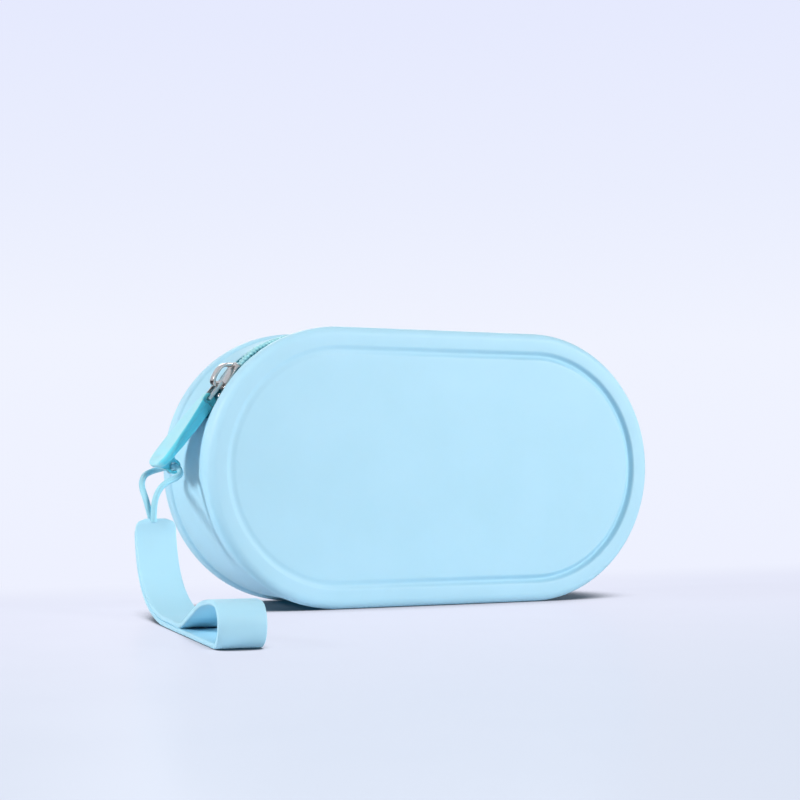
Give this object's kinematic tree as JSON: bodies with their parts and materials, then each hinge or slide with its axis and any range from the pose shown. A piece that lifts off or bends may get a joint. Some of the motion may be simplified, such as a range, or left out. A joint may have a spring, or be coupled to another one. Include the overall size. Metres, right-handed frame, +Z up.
{
  "type": "silicone cosmetic pouch",
  "caption": "Obround moulded silicone pouch standing on its long side, closed by a coil zip over the top, with a metal slider, silicone pull tab and wrist strap on a cord.",
  "frame": {"origin": "on the surface the pouch stands on, under the middle of the box of the pouch and its pull tab", "axes": "+X along the pouch's length away from the slider, +Y from the front panel to the rear panel, +Z up"},
  "size_m": [0.1953, 0.1454, 0.09],
  "materials": {
    "silicone": "matte moulded light blue",
    "tab_silicone": "satin moulded aqua",
    "strap_silicone": "matte moulded light blue",
    "zip_tape": "woven polyester",
    "zip_coil": "nylon monofilament",
    "thread": "polyester thread",
    "nickel": "nickel plated",
    "cord": "smooth round cord"
  },
  "bodies": {
    "rear_half": {"rear_shell": "silicone", "gusset": "silicone", "zipper_tape_rear": "zip_tape", "zipper_coil_rear": "zip_coil", "coil_stitching_rear": "thread", "top_stop_rear": "nickel", "bottom_stop": "nickel"},
    "front_half": {"front_shell": "silicone", "zipper_tape_front": "zip_tape", "zipper_coil_front": "zip_coil", "coil_stitching_front": "thread", "top_stop_front": "nickel"},
    "slider": {"slider_body": "nickel", "slider_crown": "nickel"},
    "pull": {"pull_link": "nickel", "pull_tab": "tab_silicone"},
    "lanyard": {"lanyard_cord": "cord", "wrist_strap": "strap_silicone"}
  },
  "joints": [
    {"name": "front_open", "type": "hinge", "parent": "rear_half", "child": "front_half", "pos_m": [0.005, -0.0196, 0.0029], "axis": [1, 0, 0], "range_deg": [0, 15], "deforming": ["gusset"]},
    {"name": "slider_travel", "type": "hinge", "parent": "rear_half", "child": "slider", "pos_m": [-0.0326, 0, 0.05616], "axis": [0, 1, 0], "range_deg": [0, 57], "deforming": ["zipper_coil_front", "zipper_coil_rear"]},
    {"name": "pull_flip", "type": "hinge", "parent": "slider", "child": "pull", "pos_m": [-0.06428, 0, 0.07206], "axis": [0, 1, 0], "range_deg": [0, 120]},
    {"name": "lanyard_swing", "type": "hinge", "parent": "pull", "child": "lanyard", "pos_m": [-0.07975, 0, 0.04524], "axis": [0, 1, 0], "range_deg": [-120, 0], "deforming": ["lanyard_cord"]}
  ],
  "couplings": [
    {"joint": "lanyard_swing", "follows": "pull_flip", "ratio": -1}
  ]
}
